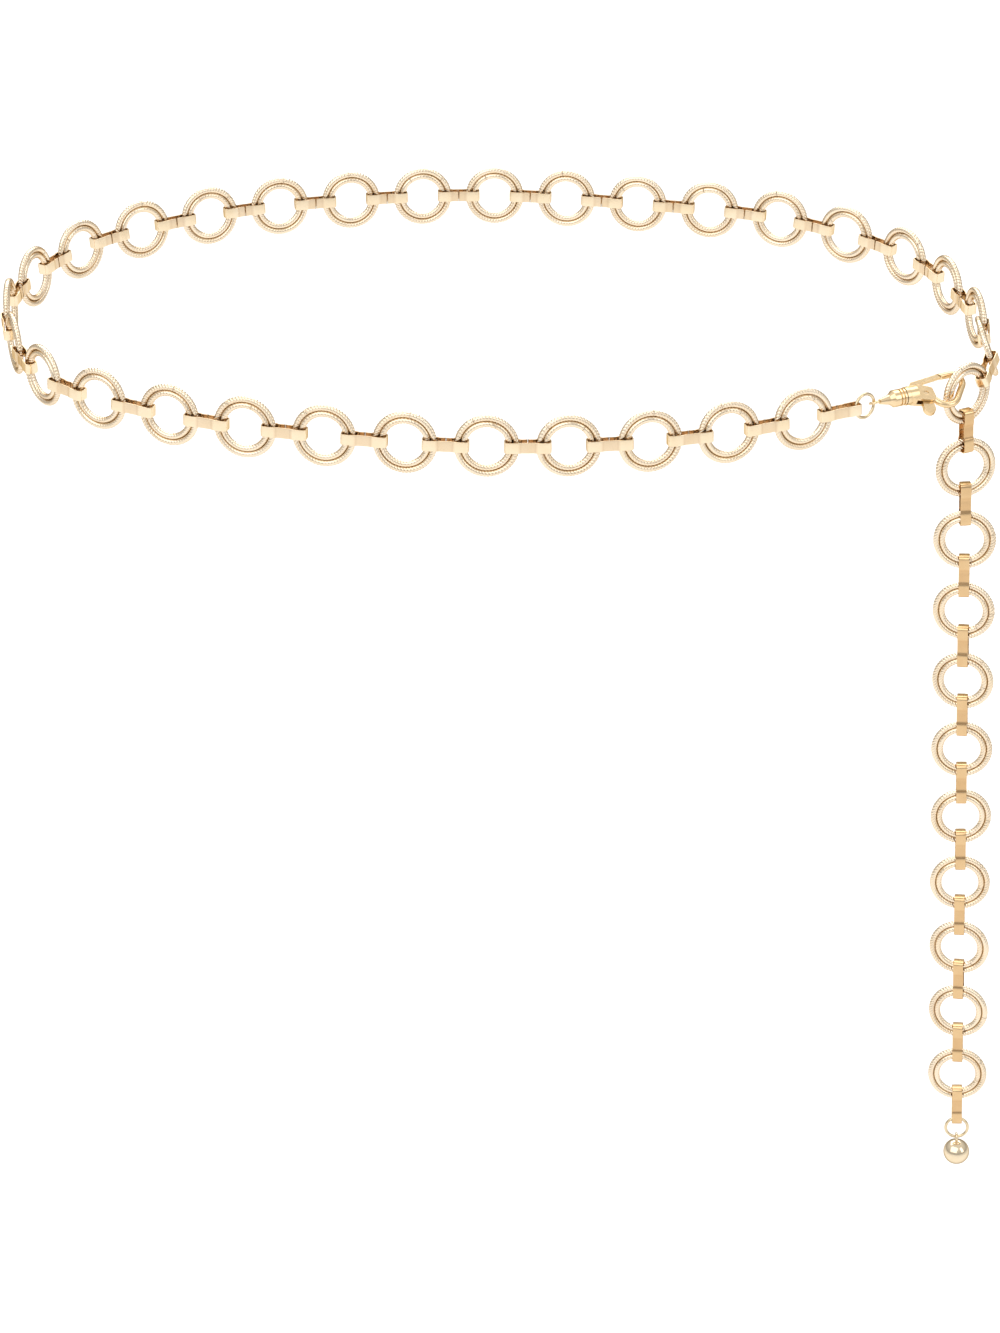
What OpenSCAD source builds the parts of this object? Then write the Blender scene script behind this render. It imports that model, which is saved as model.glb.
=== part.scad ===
/* [Ring links] */
// Outer diameter of a ring link
ring_od = 20; // [19:0.5:24]
// Diameter of the wire of both rings
wire_d = 1.9; // [1.5:0.1:2]
// Gap between the outer and the inner wire ring
wire_gap = 0.12; // [0.12:0.02:0.2]
// Width of the butt seam in each wire ring
wire_seam = 0.12; // [0.06:0.02:0.3]

/* [Strap links] */
// Gap between two neighbouring rings
ring_spacing = 4.9; // [3:0.1:10]
// Width of a strap link
strap_w = 3.4; // [2.6:0.1:4]
// Thickness of the strap's sheet
strap_sheet = 0.4; // [0.3:0.05:0.8]
// Play of the wire between the strap's front and back
strap_play = 1.35; // [1.1:0.05:1.4]
// Play of the wire at the strap's ends
end_play = 0.2; // [0.2:0.05:0.5]
// Inner radius of the strap's bends
strap_bend = 0.8; // [0.3:0.1:1.2]
// Width of the butt seam in the strap's inner side
strap_seam = 0.15; // [0.06:0.03:0.4]

/* [Waist loop] */
// Rings on the loop's route, without the two at the corner
loop_rings = 29; // [24:1:36]
// Slope of the loop up towards the back, in degrees
back_rise = 7; // [0:0.5:12]
// Slope of the loop down towards the tail's side, in degrees
side_drop = 2.9; // [0:0.1:6]

/* [Tail] */
// Rings that hang below the hooked ring
tail_rings = 10; // [4:1:16]
// Outer diameter of the jump ring above the ball
tail_jump_od = 8.5; // [7:0.1:12]
// Wire of the jump ring above the ball
tail_jump_wire = 1; // [0.7:0.05:1.3]
// Diameter of the ball
ball_d = 8.9; // [6:0.1:14]
// Wire of the ball's eye
ball_eye_wire = 0.8; // [0.6:0.05:1.2]
// Hole of the ball's eye
ball_eye_hole = 1.8; // [1.6:0.1:3]

/* [Clasp] */
// Outer diameter of the jump ring between strap and swivel
clasp_jump_od = 8.6; // [8:0.1:12]
// Wire of the jump ring between strap and swivel
clasp_jump_wire = 1; // [0.7:0.05:1.2]
// Wire of the swivel's eye
eye_wire = 0.8; // [0.7:0.05:1.3]
// Hole of the swivel's eye
eye_hole = 2.3; // [1.7:0.1:3]
// Length of the swivel's neck, from the eye's centre to the collar
neck_l = 10.1; // [9:0.1:16]
// Largest diameter of the swivel's neck
neck_d = 5.4; // [4:0.1:6]
// Diameter of the swivel's pin
swivel_pin_d = 2.2; // [1.6:0.1:2.6]
// Diameter of the collar
collar_d = 5.8; // [5:0.1:7]
// Thickness of the collar
collar_t = 1.3; // [0.8:0.1:2]
// Width of the clasp's body across its cheeks
body_w = 3.8; // [3.2:0.1:5]
// Thickness of the lever
lever_t = 1.6; // [1:0.1:1.8]
// Diameter of the lever's pivot pin
gate_pin_d = 1.4; // [1:0.1:1.6]
// Wire of the fixed hook
hook_wire = 2.1; // [1.6:0.1:2.2]
// Tilt of the hook's plane about the clasp's long axis, in degrees
hook_tilt = 55; // [50:1:60]

/* [Hidden] */

gold = "#e3bd7c";
bright_gold = "#ecc98a";
$fn = 48;

// Gap between pieces that move on each other, and the radial gap round a pin
slack = 0.15;
pin_play = 0.05;
press_gap = 0.02;
cut = 0.5;

// Ring and strap sizes that follow from the driving dimensions
ring_r = ring_od / 2;
outer_wire_r = ring_r - wire_d / 2;
inner_wire_r = outer_wire_r - wire_d - wire_gap;
hole_r = inner_wire_r - wire_d / 2;
pivot_r = (outer_wire_r + inner_wire_r) / 2;
link_pitch = ring_od + ring_spacing;
ring_chord = 2 * pivot_r;
strap_chord = link_pitch - ring_chord;
strap_slot = wire_d + strap_play;
// The wire curves away from the strap's middle, so its pocket reaches deeper into the ring
pocket_r = sqrt(pow(hole_r, 2) - pow(strap_w / 2, 2)) - end_play;
strap_inner_l = link_pitch - 2 * pocket_r;
// From a strap's pivot to the wire of a jump ring that lies against the strap's edges
function jump_reach(r, wire) = pivot_r - pocket_r - r
    + sqrt(pow(r - wire / 2 - slack, 2) - pow(strap_w / 2, 2));

// Plan of the waist loop, seen from above, from the right side round the back and the front
waist_route = [[154.4, -0.8], [136.1, 44.3], [96.5, 72.5], [48.5, 83.5], [-1, 89.5], [-50.5, 84.5],
    [-97.5, 71], [-138.5, 44], [-156.5, 0.5], [-140.5, -47], [-99, -71.5], [-50, -84],
    [0, -89.5], [49.5, -85], [96.5, -69.5], [150.7, -40]];
route_n = len(waist_route);

// Joints of the corner, from the last ring on the route to the hooked ring:
// turn about the wire, twist along the strap, swing inside the ring's plane before the joint
corner_joints = [[-16.7, 6.1, -5.4], [5.2, 12.4, 0], [-26.2, 0, 12.9], [-26.2, 0, 0]];
turn_col = 0;
twist_col = 1;
swing_col = 2;

// Placements are rigid 4 by 4 matrices
function shift(x, y, z) = [[1, 0, 0, x], [0, 1, 0, y], [0, 0, 1, z], [0, 0, 0, 1]];
function turn_x(a) = [[1, 0, 0, 0], [0, cos(a), -sin(a), 0], [0, sin(a), cos(a), 0], [0, 0, 0, 1]];
function turn_y(a) = [[cos(a), 0, sin(a), 0], [0, 1, 0, 0], [-sin(a), 0, cos(a), 0], [0, 0, 0, 1]];
function turn_z(a) = [[cos(a), -sin(a), 0, 0], [sin(a), cos(a), 0, 0], [0, 0, 1, 0], [0, 0, 0, 1]];
function place_of(m) = [m[0][3], m[1][3], m[2][3]];
function at(p) = shift(p[0], p[1], p[2]);

// A placement at p with its x axis along the line from a to b and its y axis level
function along(p, a, b) =
    let (d = b - a, heading = atan2(d[1], d[0]), slope = atan2(d[2], norm([d[0], d[1]])))
    at(p) * turn_z(heading) * turn_y(-slope);

// The route is a closed smooth curve through its points, scaled so that the chain closes
function blend(a, b, c, d, t) =
    b + t / 2 * (c - a + t * (2 * a - 5 * b + 4 * c - d + t * (3 * (b - c) + d - a)));
function route_point(i) = waist_route[(i + 4 * route_n) % route_n];
function route(u, s) =
    let (i = floor(u), p = s * blend(route_point(i - 1), route_point(i), route_point(i + 1),
        route_point(i + 2), u - i))
    [p[0], p[1], p[1] * tan(back_rise) - p[0] * tan(side_drop)];
function speed(u, s) = norm(route(u + 0.01, s) - route(u - 0.01, s)) / 0.02;

// Step along the route until the straight distance is one chord
function step(u, from, chord, s, tries = 6) =
    tries == 0 ? u : step(u + (chord - norm(route(u, s) - from)) / speed(u, s), from, chord, s,
        tries - 1);
function next_pivot(u, chord, s) = step(u + chord / speed(u, s), route(u, s), chord, s);

// Pivots round the loop: each ring takes one ring chord, each strap one strap chord
function pivots(u, left, s) =
    left == 0 ? [u] : concat([u],
        pivots(next_pivot(u, left % 2 == 0 ? ring_chord : strap_chord, s), left - 1, s));
function loop_pivots(s) = pivots(-pivot_r / speed(0, s), 2 * loop_rings, s);

// Corner: strap, ring and strap from the last ring on the route to the hooked ring
function joint(m, k) = m * turn_y(corner_joints[k][swing_col]) * turn_z(corner_joints[k][turn_col])
    * turn_x(corner_joints[k][twist_col]);
function swung(m, k) = m * turn_y(corner_joints[k][swing_col]) * shift(pivot_r, 0, 0)
    * turn_z(corner_joints[k][turn_col]) * turn_x(corner_joints[k][twist_col]);
function first_ring(p) = along((p[0] + p[1]) / 2, p[1], p[0]);
function corner_strap_1(p) = swung(first_ring(p), 0) * shift(strap_chord / 2, 0, 0);
function corner_ring(p) = joint(corner_strap_1(p) * shift(strap_chord / 2, 0, 0), 1)
    * shift(pivot_r, 0, 0);
function corner_strap_2(p) = swung(corner_ring(p), 2) * shift(strap_chord / 2, 0, 0);
function hooked_ring(p) = joint(corner_strap_2(p) * shift(strap_chord / 2, 0, 0), 3)
    * shift(pivot_r, 0, 0);

// Angle about a ring's axis, from its x axis to its lowest point
function down_angle(m) = atan2(m[2][2], -m[2][0]);

// Where the hooked ring's wire lies in the hook, in degrees from the ring's top
seat_from_top = 71;
function seat_point(m) = place_of(m * turn_y(down_angle(m) + seat_from_top - 180)
    * shift(pivot_r, 0, 0));

// Clasp, with its x axis from the eye's centre to the hook and its z axis towards the gate.
// The jump ring and the clasp make a small bend at the eye.
clasp_jump_r = (clasp_jump_od - clasp_jump_wire) / 2;
eye_gap = 0.12;
eye_offset = eye_hole / 2 - clasp_jump_wire / 2 - eye_gap;
jump_l = 2 * clasp_jump_r + eye_offset;
body_x = neck_l + slack;
body_start = body_x + collar_t;
body_l = 7.85;
body_end = body_start + body_l;
seat_x = body_end + 5.95;
seat_z = -1.66;
seat_l = norm([seat_x, seat_z]);
eye_bend = 18;
clasp_reach = norm([jump_l + seat_l * cos(eye_bend), seat_l * sin(eye_bend)]);
function clasp_start(p) = place_of(along(p[2 * loop_rings], p[2 * loop_rings - 1],
    p[2 * loop_rings]) * shift(jump_reach(clasp_jump_r, clasp_jump_wire), 0, 0));

// The route's scale at which the clasp just reaches from the first strap to the hooked ring
function points(us, s) = [for (u = us) route(u, s)];
function closing_error(s) =
    let (p = points(loop_pivots(s), s))
    norm(seat_point(hooked_ring(p)) - clasp_start(p)) - clasp_reach;
function close_loop(s0, e0, s1, e1, tries) =
    tries == 0 || abs(e1 - e0) < 1e-9 ? s1 :
    let (s2 = s1 - e1 * (s1 - s0) / (e1 - e0)) close_loop(s1, e1, s2, closing_error(s2), tries - 1);

// The chosen points suit 29 links of 24.9 mm
first_scale = loop_rings * link_pitch / (29 * 24.9);
route_scale = close_loop(first_scale, closing_error(first_scale), first_scale * 1.005,
    closing_error(first_scale * 1.005), 6);

pivot_points = points(loop_pivots(route_scale), route_scale);
hooked = hooked_ring(pivot_points);
seat = seat_point(hooked);
start = clasp_start(pivot_points);
jump_turn = atan2(seat_l * sin(eye_bend), jump_l + seat_l * cos(eye_bend));
jump_line = along(start, start, seat) * turn_z(jump_turn);
jump_place = jump_line * shift(clasp_jump_r, 0, 0);
eye_point = place_of(jump_line * shift(jump_l, 0, 0));
clasp_place = along(eye_point, eye_point, seat) * turn_x(-hook_tilt)
    * turn_y(atan2(seat_z, seat_x));

// Tail: every piece hangs in one vertical line, and each joint twists it a little further
tail_top = place_of(hooked * turn_y(down_angle(hooked)) * shift(pivot_r, 0, 0));
hooked_heading = atan2(-hooked[0][1], hooked[1][1]);
tail_heading = -8;
tail_twist = 13;
tail_sway = 5;
function folded(a) = a > 90 ? folded(a - 180) : a < -90 ? folded(a + 180) : a;
function heading_at(k) =
    let (from = folded(hooked_heading - tail_heading), left = max(0, abs(from) - k * tail_twist))
    tail_heading + sign(from) * left + tail_sway * sin(37 * k) * min(1, k / 6);
function hanging(depth, k) = at(tail_top) * turn_z(heading_at(k)) * shift(0, 0, -depth)
    * turn_y(90);
function tail_ring_depth(i) = strap_chord + pivot_r + i * link_pitch;
tail_end = tail_rings * link_pitch;
tail_jump_r = (tail_jump_od - tail_jump_wire) / 2;
tail_jump_depth = tail_end + strap_chord + jump_reach(tail_jump_r, tail_jump_wire) + tail_jump_r;
ball_eye_r = (ball_eye_hole + ball_eye_wire) / 2;
ball_eye_depth = tail_jump_depth + tail_jump_r + ball_eye_hole / 2 - tail_jump_wire / 2 - eye_gap;
ball_depth = ball_eye_depth + ball_eye_r + ball_d / 2;

// Seams turn a little from ring to ring, as they do when the chain is put together
function seam_angle(i, which) = 250 + 67 * which + 31 * sin(113 * i + 40 * which);

module wire_ring(r, seam) {
    difference() {
        rotate([90, 0, 0]) rotate_extrude() translate([r, 0]) circle(d = wire_d);
        rotate([0, seam, 0]) translate([r, 0, 0])
            cube([2 * wire_d, 2 * wire_d, wire_seam], center = true);
    }
}

module ring_link(i) {
    wire_ring(outer_wire_r, seam_angle(i, 0));
    wire_ring(inner_wire_r, seam_angle(i, 1));
}

module rounded_box_outline(l, w, r) {
    square([l - 2 * r, w], center = true);
    square([l, w - 2 * r], center = true);
    for (x = [-1, 1], y = [-1, 1])
        translate([x * (l / 2 - r), y * (w / 2 - r)]) circle(r = r);
}

// A strip of sheet bent round both wires of two rings, its butt seam on the side of +y
module strap_link() {
    linear_extrude(height = strap_w, center = true) difference() {
        rounded_box_outline(strap_inner_l + 2 * strap_sheet, strap_slot + 2 * strap_sheet,
            strap_bend + strap_sheet);
        rounded_box_outline(strap_inner_l, strap_slot, strap_bend);
        translate([-strap_seam / 2, 0]) square([strap_seam, strap_slot]);
    }
}

module waist_chain() {
    color(gold) {
        for (i = [0 : loop_rings - 1])
            let (a = pivot_points[2 * i], b = pivot_points[2 * i + 1])
            multmatrix(along((a + b) / 2, a, b)) ring_link(i);
        for (i = [0 : loop_rings - 1])
            let (a = pivot_points[2 * i + 1], b = pivot_points[2 * i + 2])
            multmatrix(along((a + b) / 2, a, b)) strap_link();
        multmatrix(corner_strap_1(pivot_points) * turn_z(180)) strap_link();
        multmatrix(corner_ring(pivot_points)) ring_link(loop_rings);
        multmatrix(corner_strap_2(pivot_points) * turn_z(180)) strap_link();
        multmatrix(hooked) ring_link(loop_rings + 1);
    }
}

module tail_chain() {
    color(gold) {
        for (i = [0 : tail_rings - 1])
            multmatrix(hanging(tail_ring_depth(i), 2 * i + 2)) ring_link(i + loop_rings + 2);
        for (i = [0 : tail_rings])
            multmatrix(hanging(i * link_pitch + strap_chord / 2, 2 * i + 1)) strap_link();
    }
}

module jump_ring(r, wire) {
    rotate([90, 0, 0]) rotate_extrude() translate([r, 0]) circle(d = wire);
}

module clasp_jump_ring() {
    color(bright_gold) multmatrix(jump_place) jump_ring(clasp_jump_r, clasp_jump_wire);
}

module tail_jump_ring() {
    color(bright_gold) multmatrix(hanging(tail_jump_depth, 2 * tail_rings + 2))
        jump_ring(tail_jump_r, tail_jump_wire);
}

// Eye, neck with two turned grooves, and the pin with its head inside the clasp's body
eye_r = (eye_hole + eye_wire) / 2;
eye_roll = 22;
neck_start = eye_hole / 2 + eye_wire / 2;
neck_start_d = 1.7;
bell_l = 1.3;
bell_d = 3.2;
front_band_l = 1.9;
band_l = 0.6;
groove_l = 0.45;
groove = 0.45;
bell_x = neck_l - bell_l - front_band_l - 2 * (groove_l + band_l);
band_1_x = bell_x + bell_l;
groove_1_x = band_1_x + front_band_l;
groove_2_x = groove_1_x + groove_l + band_l;
pin_wall = 1.6;
pin_head_x = body_start + pin_wall;
pin_head_d = swivel_pin_d + 1;
pin_head_t = 0.8;
module along_x(x) {
    translate([x, 0, 0]) rotate([0, 90, 0]) children();
}
module swivel_eye() {
    color(bright_gold) multmatrix(clasp_place) {
        rotate([hook_tilt - eye_roll, 0, 0]) rotate_extrude() translate([eye_r, 0])
            circle(d = eye_wire);
        along_x(neck_start) cylinder(d1 = neck_start_d, d2 = bell_d, h = bell_x - neck_start);
        along_x(bell_x) cylinder(d1 = bell_d, d2 = neck_d, h = bell_l);
        along_x(band_1_x) cylinder(d = neck_d, h = front_band_l);
        along_x(groove_1_x) cylinder(d = neck_d - 2 * groove, h = groove_l);
        along_x(groove_1_x + groove_l) cylinder(d = neck_d, h = band_l);
        along_x(groove_2_x) cylinder(d = neck_d - 2 * groove, h = groove_l);
        along_x(groove_2_x + groove_l) cylinder(d = neck_d, h = band_l);
        along_x(bell_x) cylinder(d = swivel_pin_d, h = pin_head_x + slack + pin_head_t / 2 - bell_x);
        along_x(pin_head_x + slack) cylinder(d = pin_head_d, h = pin_head_t);
    }
}

// Outlines in the hook's plane, x along the clasp and y towards the gate
barrel_l = 2.9;
web_t = 1;
pivot_x = body_end - 2.6;
pivot_z = -1.4;
hub_r = gate_pin_d / 2 + 0.75;
slot_x = pin_head_x + 0.2;
slot_w = lever_t + 2 * slack;
body_outline = [[0, 2.3], [body_l - 3.45, 1.9], [body_l - 0.4, 0.3], [body_l, -0.1],
    [body_l, -3.2], [body_l - 0.9, -4.4], [body_l - 2.25, -4.3], [0, -2.5]];
module in_hook_plane(t) {
    rotate([90, 0, 0]) linear_extrude(height = t, center = true) children();
}

// Fixed hook: an arc under the opening, a straight side, an arc over it and a straight tip that
// ends in an arc about the lever's pivot
arc_x = body_end + 4.2;
arc_z = -2;
arc_r = 4.25;
side_lean = 40;
side_l = 5.4;
top_r = 3;
top_angle = 90;
tip_l = 3.9;
side_x = arc_x + arc_r * cos(side_lean);
side_z = arc_z - arc_r * sin(side_lean);
top_x = side_x + side_l * sin(side_lean) - top_r * cos(side_lean);
top_z = side_z + side_l * cos(side_lean) + top_r * sin(side_lean);
module arc_wire(x, z, r, from, to) {
    translate([x, 0, z]) rotate([90, 0, 0]) rotate([0, 0, from])
        rotate_extrude(angle = to - from) translate([r, 0]) circle(d = hook_wire);
}
root_angle = 215;
root_l = 1.6;
root_x = arc_x + arc_r * cos(root_angle);
root_z = arc_z + arc_r * sin(root_angle);
side_end_x = side_x + side_l * sin(side_lean);
side_end_z = side_z + side_l * cos(side_lean);
// A slight swelling of the cast wire joins two of its lengths
module swelling(x, z) {
    translate([x, 0, z]) sphere(d = hook_wire + 0.06);
}
module fixed_hook() {
    translate([root_x, 0, root_z]) rotate([0, 180 - root_angle, 0])
        cylinder(d = hook_wire, h = root_l);
    swelling(root_x, root_z);
    arc_wire(arc_x, arc_z, arc_r, root_angle, 360 - side_lean);
    swelling(side_x, side_z);
    translate([side_x, 0, side_z]) rotate([0, side_lean, 0]) cylinder(d = hook_wire, h = side_l);
    swelling(side_end_x, side_end_z);
    arc_wire(top_x, top_z, top_r, -side_lean, top_angle);
    swelling(top_x, top_z + top_r);
    difference() {
        translate([top_x, 0, top_z + top_r]) rotate([0, -90, 0])
            cylinder(d = hook_wire, h = tip_l + hook_wire);
        about_pivot(2 * (gate_reach + slack), 2 * hook_wire);
    }
}
module about_pivot(d, t) {
    translate([pivot_x, 0, pivot_z]) rotate([90, 0, 0]) cylinder(d = d, h = t, center = true);
}
module lever_plate(outline) {
    translate([pivot_x, 0, pivot_z]) in_hook_plane(lever_t) polygon(outline);
}
module hook_body() {
    color(gold) multmatrix(clasp_place) {
        difference() {
            union() {
                along_x(body_x) cylinder(d = collar_d, h = collar_t);
                along_x(body_start) cylinder(d = neck_d, h = barrel_l);
                translate([body_start, 0, 0]) in_hook_plane(body_w) polygon(body_outline);
            }
            along_x(body_x - cut) cylinder(d = swivel_pin_d + 2 * pin_play, h = 2 * cut + pin_wall
                + collar_t);
            along_x(pin_head_x) cylinder(d = pin_head_d + 2 * slack, h = pin_head_t + 2 * slack);
            translate([slot_x, -slot_w / 2, -body_l])
                cube([body_end - web_t - slot_x, slot_w, 2 * body_l]);
            about_pivot(gate_pin_d + 2 * press_gap, body_w + 2 * cut);
        }
        fixed_hook();
    }
}

// The gate ends in the same arc, so that it clears the hook's tip as it opens
gate_reach = norm([top_x - tip_l - pivot_x, top_z + top_r - pivot_z]);
gate_outline = [[-2.9, 4.1], [0.9, 4.5], [12, 5.6], [12, 6.9], [-2.9, 5.4]];
arm_outline = [[-hub_r, 0], [-1.3, 4.8], [0.4, 4.8], [0.2, 1.3], [hub_r, 0]];
tab_z = -5.1;
tab_r = 1.9;
tab_x = -0.6;
module gate_lever() {
    color(bright_gold) multmatrix(clasp_place) difference() {
        union() {
            about_pivot(2 * hub_r, lever_t);
            lever_plate(arm_outline);
            intersection() {
                about_pivot(2 * gate_reach, lever_t);
                lever_plate(gate_outline);
            }
            lever_plate([[-hub_r, 0], [hub_r, 0], [tab_x + tab_r, tab_z], [tab_x - tab_r, tab_z]]);
            translate([pivot_x + tab_x, 0, pivot_z + tab_z]) rotate([90, 0, 0])
                cylinder(r = tab_r, h = lever_t, center = true);
        }
        about_pivot(gate_pin_d + 2 * pin_play, lever_t + 2 * cut);
    }
}

module gate_pin() {
    color(gold) multmatrix(clasp_place) about_pivot(gate_pin_d, body_w - 0.5);
}

module ball_drop() {
    color(bright_gold) multmatrix(hanging(ball_depth, 2 * tail_rings + 2)) {
        sphere(d = ball_d);
        translate([-ball_d / 2 - ball_eye_r, 0, 0]) rotate_extrude()
            translate([ball_eye_r, 0]) circle(d = ball_eye_wire);
    }
}

waist_chain();
tail_chain();
clasp_jump_ring();
swivel_eye();
hook_body();
gate_lever();
gate_pin();
tail_jump_ring();
ball_drop();
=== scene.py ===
import math

import bpy
import numpy as np
from mathutils import Matrix, Vector


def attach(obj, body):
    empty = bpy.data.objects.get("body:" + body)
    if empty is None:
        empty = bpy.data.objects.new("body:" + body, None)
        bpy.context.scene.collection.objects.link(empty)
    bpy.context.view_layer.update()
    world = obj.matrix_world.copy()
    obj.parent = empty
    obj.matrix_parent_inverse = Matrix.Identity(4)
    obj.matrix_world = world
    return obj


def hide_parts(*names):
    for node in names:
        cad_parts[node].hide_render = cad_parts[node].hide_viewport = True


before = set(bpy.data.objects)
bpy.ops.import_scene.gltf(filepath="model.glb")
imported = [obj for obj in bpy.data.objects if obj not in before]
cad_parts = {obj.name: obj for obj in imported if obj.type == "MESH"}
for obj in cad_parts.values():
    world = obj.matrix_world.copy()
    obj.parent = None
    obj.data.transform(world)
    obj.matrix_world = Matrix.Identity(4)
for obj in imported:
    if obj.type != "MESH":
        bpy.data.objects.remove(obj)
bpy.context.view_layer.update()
scene = bpy.context.scene
mm = 0.001
print("frame loaded:", len(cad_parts), "CAD nodes")


# Camera: the photograph's viewing angle, found from the rings' places in it
view = {
    "imageSize": (1000, 1333),
    "focalLength": 3500.0,  # in pixels of the image
    "place": (25.9, -1075.4, 377.2),  # mm
    "heading": 1.6,  # degrees to the left of straight ahead
    "tilt": 25.1,  # degrees down
    "roll": -2.77,
    "sensorWidth": 36.0,  # mm
    "seenFrom": 0.05,  # m, the nearest and farthest that is drawn
    "seenTo": 100.0,
}


def makeCamera(spec):
    camera = bpy.data.objects.new("camera", bpy.data.cameras.new("camera"))
    scene.collection.objects.link(camera)
    turn = Matrix.Rotation(math.radians(spec["heading"]), 4, "Z")
    tilt = Matrix.Rotation(math.radians(90 - spec["tilt"]), 4, "X")
    roll = Matrix.Rotation(math.radians(spec["roll"]), 4, "Z")
    camera.matrix_world = Matrix.Translation(Vector(spec["place"]) * mm) @ turn @ tilt @ roll
    camera.data.sensor_width = spec["sensorWidth"]
    camera.data.lens = spec["focalLength"] * spec["sensorWidth"] / max(spec["imageSize"])
    camera.data.clip_start = spec["seenFrom"]
    camera.data.clip_end = spec["seenTo"]
    scene.camera = camera


makeCamera(view)


# Materials
def linearColour(hexColour):
    shares = [int(hexColour[i:i + 2], 16) / 255 for i in (1, 3, 5)]
    return [s / 12.92 if s <= 0.04045 else ((s + 0.055) / 1.055) ** 2.4 for s in shares] + [1.0]


def perMetre(size):
    return 1 / (size * mm)


def addNode(tree, kind, values=None, links=None, **settings):
    node = tree.nodes.new(kind)
    for name, setting in settings.items():
        setattr(node, name, setting)
    for socket, value in (values or {}).items():
        node.inputs[socket].default_value = value
    for socket, source in (links or {}).items():
        tree.links.new(source, node.inputs[socket])
    return node


def newTree(name):
    material = bpy.data.materials.new(name)
    material.use_nodes = True
    material.node_tree.nodes.clear()
    return material, material.node_tree


# Brass wire, strip and castings under a thin coat of pale gold. The coat is bright and almost
# white where it faces the light, and warm where one piece mirrors another. The colour drifts a
# little with the coat's thickness, and tumbling leaves faint marks in it.
def goldPlate(name, look):
    material, tree = newTree(name)
    if look["grainFrom"] == "object":
        where = addNode(tree, "ShaderNodeTexCoord").outputs["Object"]
    else:
        swept = addNode(tree, "ShaderNodeAttribute", attribute_name=look["grainFrom"])
        where = swept.outputs["Vector"]
    drift = addNode(tree, "ShaderNodeTexNoise",
                    {"Scale": perMetre(look["driftSize"]), "Detail": 2.0}, {"Vector": where})
    coat = addNode(tree, "ShaderNodeMixRGB",
                   {"Color1": linearColour(look["colour"]),
                    "Color2": linearColour(look["warmColour"])},
                   {"Fac": drift.outputs["Fac"]})
    # Painted shade: where the height attribute is low (ridge grooves, strip creases, pressed
    # middles, inside faces) the coat is mixed towards a darker brown
    height = addNode(tree, "ShaderNodeAttribute", attribute_name="height")
    wearAndShade = addNode(tree, "ShaderNodeMapRange",
                   {"From Min": 0.0, "From Max": 1.0,
                    "To Min": look["paintedShadeDark"], "To Max": 0.0},
                   {"Value": height.outputs["Fac"]})
    colour = addNode(tree, "ShaderNodeMixRGB", {"Color2": linearColour(look["paintedShadeColour"])},
                     {"Fac": wearAndShade.outputs["Result"], "Color1": coat.outputs["Color"]})
    stretched = addNode(tree, "ShaderNodeMapping", {"Scale": look["markStretch"]},
                        {"Vector": where})
    marks = addNode(tree, "ShaderNodeTexNoise",
                    {"Scale": perMetre(look["markSize"]), "Detail": 3.0, "Roughness": 0.6},
                    {"Vector": stretched.outputs["Vector"]})
    gloss = addNode(tree, "ShaderNodeMapRange",
                    {"From Min": look["markSpan"][0], "From Max": look["markSpan"][1],
                     "To Min": look["roughness"][0], "To Max": look["roughness"][1]},
                    {"Value": marks.outputs["Fac"]})
    edge = addNode(tree, "ShaderNodeBevel", {"Radius": look["edgeRound"] * mm},
                   samples=look["edgeSamples"])
    bump = addNode(tree, "ShaderNodeBump",
                   {"Strength": look["markStrength"], "Distance": look["markDepth"] * mm},
                   {"Height": marks.outputs["Fac"], "Normal": edge.outputs["Normal"]})
    shader = addNode(tree, "ShaderNodeBsdfPrincipled",
                     {"Metallic": 1.0, "Specular Tint": linearColour(look["rimColour"])},
                     {"Base Color": colour.outputs["Color"], "Roughness": gloss.outputs["Result"],
                      "Normal": bump.outputs["Normal"]})
    addNode(tree, "ShaderNodeOutputMaterial", links={"Surface": shader.outputs["BSDF"]})
    return material


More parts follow.
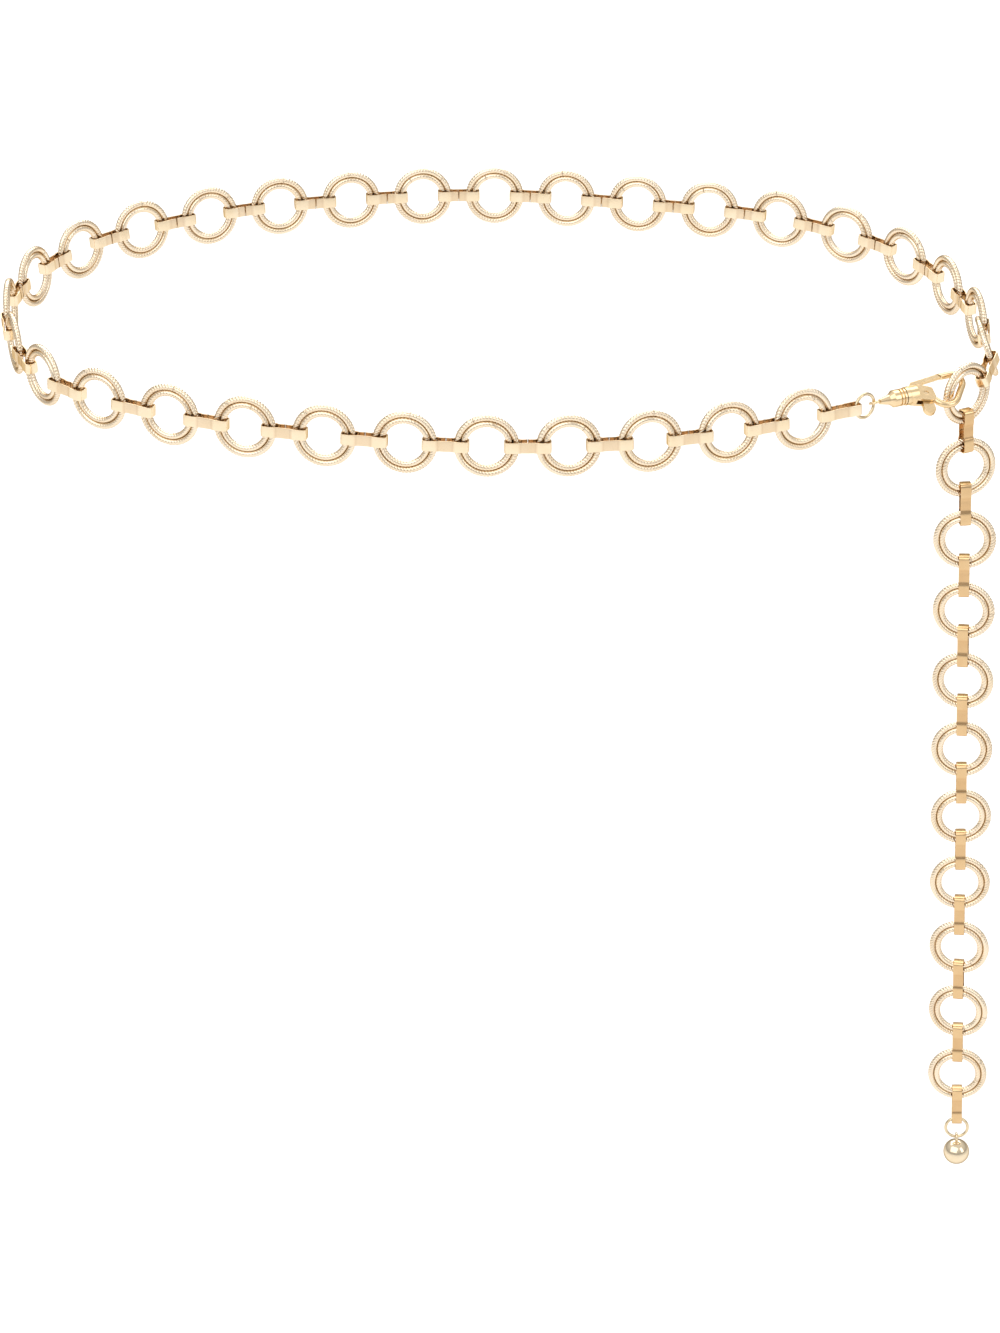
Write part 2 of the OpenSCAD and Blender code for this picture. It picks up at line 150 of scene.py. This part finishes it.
paleGold = {
    "colour": "#fbeedb",
    "warmColour": "#f5e2c2",
    "rimColour": "#bba27c",  # what the metal mirrors at a glance, duller than face on
    "driftSize": 6.0,  # mm
    # the brown of the painted shade in hollows, and how strongly it is painted (none for pale gold
    # itself)
    "paintedShadeColour": "#b07b45",
    "paintedShadeDark": 0.0,
    "roughness": (0.1, 0.2),
    "grainFrom": "object",
    "markSize": 0.35,  # mm, coarser than the real marks so that they show
    "markStretch": (1, 1, 1),
    "markSpan": (0.3, 0.7),  # most of the noise's values lie between these
    "markStrength": 0.25,
    "markDepth": 0.01,  # mm
    "edgeRound": 0.12,  # mm
    "edgeSamples": 6,
}
# the strip's painted shade in creases, pressed middles and inside faces is strong
stripGold = {**paleGold, "colour": "#fbead0", "warmColour": "#f3dcb5", "grainFrom": "along",
             "markStretch": (1, 0.08, 1), "markStrength": 0.5, "paintedShadeDark": 0.7,
             "edgeRound": 0.03}
finishes = {
    # rolled wire: bright crests, and grooves painted browner as shade
    "ridgedWire": goldPlate("plated_brass_wire_rolled_ridges",
                            {**paleGold, "paintedShadeDark": 0.45, "roughness": (0.14, 0.22),
                             "edgeRound": 0.02}),
    # sheet: marks from rolling run along the strip, and the creases, pressed middles and inside
    # faces are painted browner, as shade
    "strip": goldPlate("plated_brass_strip_bent", stripGold),
    # painted shade: the tail's straps are the same strip, coloured darker
    "shadedTailStrip": goldPlate("plated_brass_strip_bent_shaded",
                           {**stripGold, "colour": "#e6c79a", "warmColour": "#d7b283"}),
    # thin drawn wire: smooth, with duller edges
    "roundWire": goldPlate("plated_brass_wire_drawn",
                           {**paleGold, "colour": "#ecdcbf", "warmColour": "#dac49c",
                            "rimColour": "#8f7f68", "edgeRound": 0.04}),
    # zinc castings: softer gloss and rounder edges than turned parts
    "casting": goldPlate("plated_zinc_casting_polished",
                         {**paleGold, "colour": "#f3dcb6", "warmColour": "#e6c593",
                          "roughness": (0.16, 0.26), "edgeRound": 0.2}),
    "turned": goldPlate("plated_brass_turned_bright",
                        {**paleGold, "colour": "#f5dfbc", "warmColour": "#e9cb9c",
                         "roughness": (0.13, 0.2), "markStrength": 0.12}),
    # the ball: clear reflections
    "ball": goldPlate("plated_brass_ball_polished",
                      {**paleGold, "colour": "#f2e3ca", "warmColour": "#e6d1ae",
                       "rimColour": "#9a8a74", "roughness": (0.1, 0.16), "markStrength": 0.12}),
}
print("materials ready:", len(finishes))


# The chains' links, found in the CAD nodes' loose solids
link = {
    "outerAcross": 18.0,  # mm, an outer wire ring is wider and everything else is narrower
    "roundness": 0.5,  # mm that a ring's outline may differ from a circle
    "tailBelow": 30.0,  # mm below the waist, where rings belong to the tail
    "facing": 0.95,  # cosine above which a face looks along a direction
    "seamReach": 1.0,  # mm from a strap's middle, where its seam's faces lie
}


def readRows(items, name, kind=np.float32, width=3):
    rows = np.empty(len(items) * width, kind)
    items.foreach_get(name, rows)
    return rows.reshape(-1, width) if width > 1 else rows


def looseSolids(nodeName):
    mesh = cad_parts[nodeName].data
    points, spot = np.unique(readRows(mesh.vertices, "co"), axis=0, return_inverse=True)
    spot = spot.reshape(-1)
    edges = spot[readRows(mesh.edges, "vertices", np.int32, 2)]
    label = np.arange(len(points))
    while True:  # each point takes the lowest label that an edge brings it, until none changes
        lowest = np.minimum(label[edges[:, 0]], label[edges[:, 1]])
        spread = label.copy()
        np.minimum.at(spread, edges[:, 0], lowest)
        np.minimum.at(spread, edges[:, 1], lowest)
        spread = spread[spread]
        if (spread == label).all():
            break
        label = spread
    corners = readRows(mesh.loops, "vertex_index", np.int32, 1)
    firstCorner = readRows(mesh.polygons, "loop_start", np.int32, 1)
    faceLabel = label[spot[corners[firstCorner]]]
    normals = readRows(mesh.polygons, "normal")
    centres = readRows(mesh.polygons, "center")
    areas = readRows(mesh.polygons, "area", width=1)
    solids = []
    for value in np.unique(label):
        faces = faceLabel == value
        solids.append({"points": points[label == value].astype(float), "normals": normals[faces],
                       "centres": centres[faces], "areas": areas[faces]})
    return solids


def middleAlong(points, axes):
    reach = points @ axes
    return (reach.max(0) + reach.min(0)) / 2 @ axes.T, reach.max(0) - reach.min(0)


def placement(x, y, z, centre):
    place = np.eye(4)
    place[:3, 0], place[:3, 1], place[:3, 2], place[:3, 3] = x, y, z, centre
    return place


# A ring's x axis points to its seam, its z axis out of the loop or towards the front
def ringPlace(solid):
    points = solid["points"]
    axes = np.linalg.eigh(np.cov(points.T))[1]
    centre, size = middleAlong(points, axes)
    axle = axes[:, 0]
    onWaist = abs(centre[2]) < link["tailBelow"] * mm
    outward = centre * (1, 1, 0) if onWaist else np.array((0, -1, 0))
    if axle @ outward < 0:
        axle = -axle
    arms = solid["centres"] - centre
    tangents = np.cross(axle, arms)
    tangents /= np.linalg.norm(tangents, axis=1)[:, None]
    ends = np.abs((solid["normals"] * tangents).sum(1)) > link["facing"]
    seam = arms[ends].mean(0)
    seam -= axle * (seam @ axle)
    seam /= np.linalg.norm(seam)
    return placement(seam, np.cross(axle, seam), axle, centre), size[1:].mean()


# A strap's x axis is its length, and its y axis points to the plate that has the seam
def strapPlace(solid):
    spread = (solid["normals"] * solid["areas"][:, None]).T @ solid["normals"]
    axes = np.linalg.eigh(spread)[1]
    centre, size = middleAlong(solid["points"], axes)
    plate = axes[:, 2]
    long = axes[:, 0] if size[0] > size[1] else axes[:, 1]
    arms = solid["centres"] - centre
    endways = np.abs(solid["normals"] @ long) > link["facing"]
    seamFaces = endways & (np.abs(arms @ long) < link["seamReach"] * mm)
    if (arms[seamFaces] @ plate).mean() < 0:
        plate = -plate
    place = placement(long, plate, np.cross(long, plate), centre)
    return place, (max(size[:2]), size[2], min(size[:2]))


# A ring reaches as far along both axes of its plane, and a strap doesn't
def isRound(solid, place, across):
    reach = np.ptp(solid["points"] @ place[:3, :2], axis=0)
    return abs(np.linalg.norm(reach) - across * math.sqrt(2)) < link["roundness"] * mm


def readLinks(nodeName):
    links = {"outer": [], "inner": [], "strap": []}
    for solid in looseSolids(nodeName):
        place, across = ringPlace(solid)
        if across > link["outerAcross"] * mm:
            links["outer"].append((place, across))
        elif isRound(solid, place, across):
            links["inner"].append((place, across))
        else:
            links["strap"].append(strapPlace(solid))
    return links


wire = {
    "diameter": 1.9,  # mm
    "closing": 0.059,  # mm that each of the two wires is fuller than its solid, towards the other
    "seamGap": 0.12,  # mm
    "endRound": 0.12,  # mm
    "endLength": 0.3,  # share of endRound that the rounded end is long
    "sides": 12,
    "ridgePitch": 1.0,  # mm along the wire
    "ridgeDepth": {"outer": 0.24, "inner": 0.14},  # mm
    "ridgeLean": 0.8,  # mm that a ridge leans forward across the wire
    "ridgeFullness": 0.35,  # below 1 the ridges are round and the grooves between them narrow
    "stepsPerRidge": 4,
    "wornLeft": 0.5,  # share of the ridges' depth and of the painted shade in their grooves left where a ring is worn most
}
strap = {
    "sheet": 0.4,  # mm thick
    "cornerRadius": 1.2,  # mm
    "seamGap": 0.15,  # mm
    "edgeRound": 0.1,  # mm
    "crown": 0.04,  # mm that the sheet is fuller in the middle of its width
    "bow": 0.06,  # mm that the pressed middle is fuller than its ends
    "pinch": 0.3,  # mm that the plates are pressed in between the two rings
    "pinchFrom": 1.6,  # mm from the middle, where the plate starts to rise
    "pinchTo": 3.2,  # mm, where it is at its full height
    "middleShadeTone": 0.72,  # painted shade on the pressed middle between the rings, as a tone from 0, brown, to 1, pale
    "creaseShadeTone": 0.3,  # how much darker the crease is painted, as shade
    "creaseShadeWidth": 0.3,  # mm
    # painted shade on the strip's inside faces, which face the rings
    "insideShadeTone": 0.45,
    "halfSteps": 15,  # rows of points from the seam to a corner
    "cornerStep": 15,  # degrees between the rows round a corner
    "acrossShares": (0.9, 0.45, 0.0, -0.45, -0.9),  # points across a face, as shares of its half
    "plateWeight": 80,  # how much the large faces set the shading next to the bends
}


# Rows of points are one section of a wire or strip each. Neighbouring rows are joined by
# four-sided faces, and the first and last row are closed.
def sweptFaces(rows, sides):
    k = np.arange(sides)
    start = np.arange(rows - 1)[:, None] * sides
    a, b = start + k, start + (k + 1) % sides
    return np.stack([a, b, b + sides, a + sides], axis=2).reshape(-1, 4)


# A ring of wire with slanted ridges, open at its seam. The ridges are worn on one side of it, and
# their grooves get painted shade.
def ridgedRing(kind, outerRadius, innerRadius, wornSide):
    wireRadius = (outerRadius - innerRadius) / 2
    ringRadius = (outerRadius + innerRadius) / 2
    ridges = round(2 * math.pi * ringRadius / wire["ridgePitch"])
    seam = math.asin(wire["seamGap"] / 2 / ringRadius)
    lip = wire["endLength"] * wire["endRound"] / ringRadius
    turn = np.linspace(seam, 2 * math.pi - seam, ridges * wire["stepsPerRidge"] + 1)
    turn = np.concatenate([[turn[0], turn[0] + lip], turn[1:-1], [turn[-1] - lip, turn[-1]]])
    around = np.arange(wire["sides"]) * 2 * math.pi / wire["sides"]
    angle = turn[:, None] + np.zeros(wire["sides"])
    height = (0.5 + 0.5 * np.cos(ridges * angle)) ** wire["ridgeFullness"]
    wearAndShade = (0.5 + 0.5 * np.cos(angle - wornSide)) ** 2
    other = -1 if kind == "outer" else 1  # the side on which the other wire lies
    touching = 0.5 + 0.5 * np.cos(around) * other  # no ridges there
    left = 1 - (1 - wire["wornLeft"]) * wearAndShade
    depth = wire["ridgeDepth"][kind] * left * (1 - touching ** 4)
    fromEnd = np.minimum(angle - turn[0], turn[-1] - angle) * ringRadius
    upright = np.clip(fromEnd / wire["ridgePitch"], 0, 1)
    lean = wire["ridgeLean"] / ringRadius * np.cos(around) * upright
    radius = wireRadius - depth * (1 - height)
    radius[[0, -1]] -= wire["endRound"]
    out = ringRadius + radius * np.cos(around)
    points = np.stack([out * np.cos(angle + lean), out * np.sin(angle + lean),
                       radius * np.sin(around)], axis=2)
    along = np.stack([angle * ringRadius, around * wireRadius + 0 * angle, 0 * angle], axis=2)
    # the second value is the tone of the painted shade: low in the grooves, less so where the ring
    # is worn
    return points, 1 - (1 - height) * left, along


# The strip's section: distance outwards, distance across and whether the point is on the outside
def sectionOutline(sheet, width):
    r = strap["edgeRound"]
    rows = []
    for out, side, first in ((1, 1, 0), (-1, 1, 90), (-1, -1, 180), (1, -1, 270)):
        for a in np.radians(np.array([0, 30, 60, 90]) + first):
            rows.append((out * (sheet / 2 - r) + r * math.cos(a),
                         side * (width / 2 - r) + r * math.sin(a), out > 0))
        if first in (90, 270):
            face = -1 if first == 90 else 1
            for share in strap["acrossShares"]:
                rows.append((face * sheet / 2, -face * share * (width / 2 - r), face > 0))
    return np.array(rows, float)


# The strip's middle line round both rings, from the seam to the seam, and the tone of the painted
# shade on its outside: darker on the pressed middle and in the crease
def strapPath(length, thickness):
    half = length / 2 - strap["cornerRadius"]
    turn = strap["cornerRadius"] - strap["sheet"] / 2
    top = thickness / 2 - strap["sheet"] / 2
    crease = (strap["pinchFrom"] + strap["pinchTo"]) / 2
    steps = strap["halfSteps"]
    seam = strap["seamGap"] / 2

    def plate(x, side):
        rise = (abs(x) - strap["pinchFrom"]) / (strap["pinchTo"] - strap["pinchFrom"])
        rise = min(max(rise, 0), 1)
        rise = rise * rise * (3 - 2 * rise)
        middle = strap["pinch"] + strap["bow"] * min(abs(x) / strap["pinchFrom"], 1) ** 2
        paintedTone = strap["middleShadeTone"] + (1 - strap["middleShadeTone"]) * rise
        paintedTone -= strap["creaseShadeTone"] * math.exp(-((abs(x) - crease) / strap["creaseShadeWidth"]) ** 2)
        return x, side * (top - middle * (1 - rise)), paintedTone

    rows = [plate(x, 1) for x in np.linspace(seam, half, steps)[:-1]]
    for side in (1, -1):
        for a in np.radians(np.arange(90, -91, -strap["cornerStep"])):
            rise = top - turn + turn * abs(math.sin(a))
            rows.append((side * (half + turn * math.cos(a)), side * math.copysign(rise, a), 1.0))
        if side == 1:
            rows += [plate(x, -1) for x in np.linspace(half, -half, 2 * steps)[1:-1]]
    rows += [plate(x, 1) for x in np.linspace(-half, -seam, steps)[1:]]
    return np.array(rows)


def bentStrap(length, thickness, width):
    path = strapPath(length, thickness)
    step = np.gradient(path[:, :2], axis=0)
    step /= np.linalg.norm(step, axis=1)[:, None]
    outward = np.stack([-step[:, 1], step[:, 0]], axis=1)
    section = sectionOutline(strap["sheet"], width)
    n = section[:, 0] - strap["crown"] * (2 * section[:, 1] / width) ** 2
    flat = path[:, None, :2] + outward[:, None, :] * n[None, :, None]
    across = np.broadcast_to(section[:, 1], flat.shape[:2])
    points = np.concatenate([flat, across[..., None]], axis=2)
    lengths = np.linalg.norm(np.diff(path[:, :2], axis=0), axis=1)
    travelled = np.concatenate([[0], np.cumsum(lengths)])
    along = np.stack([travelled[:, None] + 0 * across, across, 0 * across], axis=2)
    # outside faces take the path's painted-shade tone, inside faces one darker painted shade
    return points, np.where(section[:, 2] > 0, path[:, 2:], strap["insideShadeTone"]), along


def joinSwept(name, parts, finish, node):
    corners, quads, caps, heights, alongs = [], [], [], [], []
    count = 0
    for place, (points, height, along) in parts:
        rows, sides = points.shape[:2]
        corners.append(points.reshape(-1, 3) * mm @ place[:3, :3].T + place[:3, 3])
        quads.append(sweptFaces(rows, sides) + count)
        caps.append((np.arange(sides)[::-1] + count).tolist())
        caps.append((np.arange(sides) + count + (rows - 1) * sides).tolist())
        heights.append(height.reshape(-1))
        # no two links have the same marks
        alongs.append(along.reshape(-1, 3) * mm + place[:3, 3])
        count += rows * sides
    mesh = bpy.data.meshes.new(name)
    mesh.from_pydata(np.concatenate(corners).tolist(), [], np.concatenate(quads).tolist() + caps)
    # height carries the tone for the painted shade in hollows, along places the marks
    for label, kind, field, value in (("height", "FLOAT", "value", heights),
                                      ("along", "FLOAT_VECTOR", "vector", alongs)):
        data = mesh.attributes.new(label, kind, "POINT").data
        data.foreach_set(field, np.concatenate(value).astype(np.float32).reshape(-1))
    smooth = np.ones(len(mesh.polygons), bool)
    smooth[-len(caps):] = False  # the cut ends stay flat
    mesh.polygons.foreach_set("use_smooth", smooth)
    mesh.materials.append(finish)
    piece = bpy.data.objects.new(name, mesh)
    scene.collection.objects.link(piece)
    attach(piece, "chain")
    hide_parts(node)
    return piece


def buildRings(name, rings, node):
    wornSides = np.random.default_rng(len(rings) + len(name))  # the same draws each run
    parts = []
    for kind, place, outer, inner in rings:
        parts.append((place, ridgedRing(kind, outer, inner, wornSides.uniform(0, 2 * math.pi))))
    joinSwept(name, parts, finishes["ridgedWire"], node)


def buildChain(prefix, node, stretches, strapFinish):
    links = readLinks(node)
    print(node, {kind: len(found) for kind, found in links.items()})
    diameter = wire["diameter"]
    closing = wire["closing"]
    outer = [("outer", place, across / 2 / mm, across / 2 / mm - diameter - closing)
             for place, across in links["outer"]]
    inner = [("inner", place, across / 2 / mm + closing, across / 2 / mm - diameter)
             for place, across in links["inner"]]
    for label, belongs in stretches.items():
        buildRings(prefix + "OuterRings" + label, [r for r in outer if belongs(r[1])], node)
        buildRings(prefix + "InnerRings" + label, [r for r in inner if belongs(r[1])], node)
    straps = [(place, bentStrap(*(s / mm for s in size))) for place, size in links["strap"]]
    piece = joinSwept(prefix + "Straps", straps, finishes[strapFinish], node)
    flat = piece.modifiers.new("flatPlates", "WEIGHTED_NORMAL")
    flat.weight = strap["plateWeight"]


def inFront(place):
    return place[1, 3] < 0


def behind(place):
    return not inFront(place)


def anywhere(place):
    return True


buildChain("waist", "waist_chain", {"Front": inFront, "Back": behind}, "strip")
# the tail's straps take the darker, painted-shade copy of the strip finish
buildChain("tail", "tail_chain", {"": anywhere}, "shadedTailStrip")
print("chains ready")


# Clasp, jump rings and ball keep the CAD shapes
nodeFinishes = {
    "clasp_jump_ring": "roundWire",
    "tail_jump_ring": "roundWire",
    "swivel_eye": "turned",
    "hook_body": "casting",
    "gate_lever": "casting",
    "gate_pin": "turned",
    "ball_drop": "ball",
}
for nodeName, finish in nodeFinishes.items():
    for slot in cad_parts[nodeName].material_slots:
        slot.material = finishes[finish]
print("clasp and ball ready")


# Studio: seamless pale paper a metre below the waist, and large soft lights
studio = {
    "floorDrop": 1000.0,  # mm below the waist
    "floorSize": 90000.0,  # mm, so large that no view shows its edge
    "paper": "#f7f6f4",
    "fibreColour": "#ffffff",
    "fibreSize": 4.0,  # mm, coarser than real fibres
    "paperRoughness": 0.9,
    "sky": "#fbfaf8",
    "horizonStrength": 0.5,  # the tent's brightness at the horizon and overhead
    "topStrength": 0.86,
    "skyFrom": 0.05,  # height in the sky, from 0 at the horizon to 1 overhead
    "skyTo": 0.7,
}
softLights = {  # place, aim and size in m, power in W
    "keyLight": {"place": (-1.6, -2.6, 2.4), "aim": (0, 0, -0.2), "size": (5.0, 3.8), "power": 62},
    "fillLight": {"place": (2.6, -1.8, 1.4), "aim": (0, 0, 0), "size": (1.4, 2.4), "power": 14},
    "paperLight": {"place": (0, 2.6, 2.4), "aim": (0, 2.6, 0), "size": (4.0, 4.0), "power": 90},
}


def makeFloor(spec):
    half = spec["floorSize"] * mm / 2
    drop = -spec["floorDrop"] * mm
    corners = [(-half, -half, drop), (half, -half, drop), (half, half, drop), (-half, half, drop)]
    mesh = bpy.data.meshes.new("floor")
    mesh.from_pydata(corners, [], [(0, 1, 2, 3)])
    floor = bpy.data.objects.new("floor", mesh)
    scene.collection.objects.link(floor)
    material, tree = newTree("paper_seamless_matt")
    where = addNode(tree, "ShaderNodeTexCoord").outputs["Object"]
    fibre = addNode(tree, "ShaderNodeTexNoise",
                    {"Scale": perMetre(spec["fibreSize"]), "Detail": 3.0}, {"Vector": where})
    colour = addNode(tree, "ShaderNodeMixRGB",
                     {"Color1": linearColour(spec["paper"]),
                      "Color2": linearColour(spec["fibreColour"])},
                     {"Fac": fibre.outputs["Fac"]})
    shader = addNode(tree, "ShaderNodeBsdfPrincipled", {"Roughness": spec["paperRoughness"]},
                     {"Base Color": colour.outputs["Color"]})
    addNode(tree, "ShaderNodeOutputMaterial", links={"Surface": shader.outputs["BSDF"]})
    mesh.materials.append(material)


# A tent of white cloth: bright overhead and darker towards the horizon
def makeSky(spec):
    world = bpy.data.worlds.new("studio")
    scene.world = world
    world.use_nodes = True
    tree = world.node_tree
    tree.nodes.clear()
    direction = addNode(tree, "ShaderNodeTexCoord").outputs["Generated"]
    height = addNode(tree, "ShaderNodeSeparateXYZ", links={"Vector": direction}).outputs["Z"]
    strength = addNode(tree, "ShaderNodeMapRange",
                       {"From Min": spec["skyFrom"], "From Max": spec["skyTo"],
                        "To Min": spec["horizonStrength"], "To Max": spec["topStrength"]},
                       {"Value": height})
    cloth = addNode(tree, "ShaderNodeBackground", {"Color": linearColour(spec["sky"])},
                    {"Strength": strength.outputs["Result"]})
    addNode(tree, "ShaderNodeOutputWorld", links={"Surface": cloth.outputs["Background"]})


def makeLight(name, spec):
    lamp = bpy.data.lights.new(name, "AREA")
    lamp.shape = "RECTANGLE"
    lamp.size, lamp.size_y = spec["size"]
    lamp.energy = spec["power"]
    light = bpy.data.objects.new(name, lamp)
    light.location = spec["place"]
    aim = Vector(spec["aim"]) - Vector(spec["place"])
    light.rotation_euler = aim.to_track_quat("-Z", "Y").to_euler()
    scene.collection.objects.link(light)


makeFloor(studio)
makeSky(studio)
for lightName, lightSpec in softLights.items():
    makeLight(lightName, lightSpec)

scene.view_settings.view_transform = "Standard"  # keeps the paper white and the metal pale
print("studio ready")
